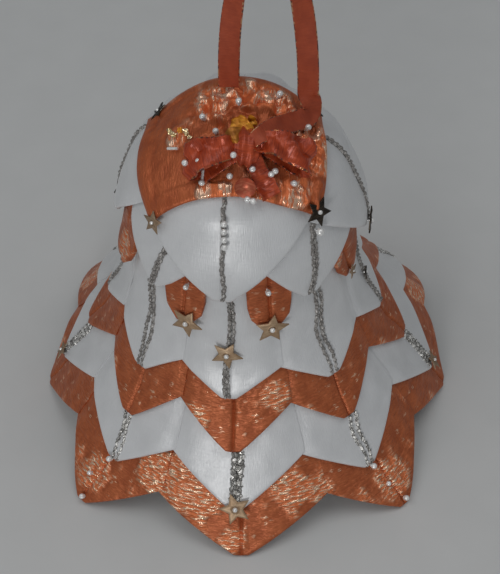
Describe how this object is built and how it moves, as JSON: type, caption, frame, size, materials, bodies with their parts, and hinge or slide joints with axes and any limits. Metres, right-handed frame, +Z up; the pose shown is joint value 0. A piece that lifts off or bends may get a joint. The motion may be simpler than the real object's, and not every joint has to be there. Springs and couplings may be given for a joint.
{
  "type": "fabric bell ornament",
  "caption": "Hand-made bell ornament: overlapping rows of folded ribbon points pinned to a foam bell, with a hemmed cap, star sequins, a ribbon bow and a hanging loop.",
  "frame": {"origin": "middle of the ring on which the hem tips stand, on the surface under the bell", "axes": "+Z up along the bell's axis to the crown; -Y towards the front point that carries the bow's side; +X to the right seen from the front"},
  "size_m": [0.0866, 0.0866, 0.109],
  "materials": {
    "orange_lame": "crinkled metallic orange cloth",
    "white_satin": "white satin ribbon with silver braid on the seams",
    "red_ribbon": "narrow red satin ribbon",
    "foam": "white craft foam",
    "gold_sequin": "gold star sequin with a bead-headed pin"
  },
  "bodies": {
    "bell": {"foam_core": "foam", "hem_orange_point_1": "orange_lame", "hem_orange_point_2": "orange_lame", "hem_orange_point_3": "orange_lame", "hem_orange_point_4": "orange_lame", "hem_orange_point_5": "orange_lame", "hem_orange_point_6": "orange_lame", "hem_orange_point_7": "orange_lame", "hem_orange_point_8": "orange_lame", "lower_white_point_1": "white_satin", "lower_white_point_2": "white_satin", "lower_white_point_3": "white_satin", "lower_white_point_4": "white_satin", "lower_white_point_5": "white_satin", "lower_white_point_6": "white_satin", "lower_white_point_7": "white_satin", "lower_white_point_8": "white_satin", "middle_orange_point_1": "orange_lame", "middle_orange_point_2": "orange_lame", "middle_orange_point_3": "orange_lame", "middle_orange_point_4": "orange_lame", "middle_orange_point_5": "orange_lame", "middle_orange_point_6": "orange_lame", "middle_orange_point_7": "orange_lame", "middle_orange_point_8": "orange_lame", "waist_white_point_1": "white_satin", "waist_white_point_2": "white_satin", "waist_white_point_3": "white_satin", "waist_white_point_4": "white_satin", "waist_white_point_5": "white_satin", "waist_white_point_6": "white_satin", "waist_white_point_7": "white_satin", "waist_white_point_8": "white_satin", "shoulder_orange_point_1": "orange_lame", "shoulder_orange_point_2": "orange_lame", "shoulder_orange_point_3": "orange_lame", "shoulder_orange_point_4": "orange_lame", "shoulder_orange_point_5": "orange_lame", "shoulder_orange_point_6": "orange_lame", "shoulder_orange_point_7": "orange_lame", "shoulder_orange_point_8": "orange_lame", "under_white_point_1": "white_satin", "under_white_point_2": "white_satin", "under_white_point_3": "white_satin", "under_white_point_4": "white_satin", "dome_white_point_1": "white_satin", "dome_white_point_2": "white_satin", "dome_white_point_3": "white_satin", "dome_white_point_4": "white_satin", "crown_cap": "orange_lame", "cap_star_1": "gold_sequin", "cap_star_2": "gold_sequin", "cap_star_3": "gold_sequin", "cap_star_4": "gold_sequin", "skirt_star_1": "gold_sequin", "skirt_star_2": "gold_sequin", "skirt_star_3": "gold_sequin", "skirt_star_4": "gold_sequin", "ribbon_bow": "red_ribbon"},
    "loop": {"hanging_loop": "red_ribbon"}
  },
  "joints": [
    {"name": "loop_fold", "type": "hinge", "parent": "bell", "child": "loop", "pos_m": [0.00525, 0, 0.0797], "axis": [1, 0, 0], "range_deg": [-80, 70]}
  ]
}
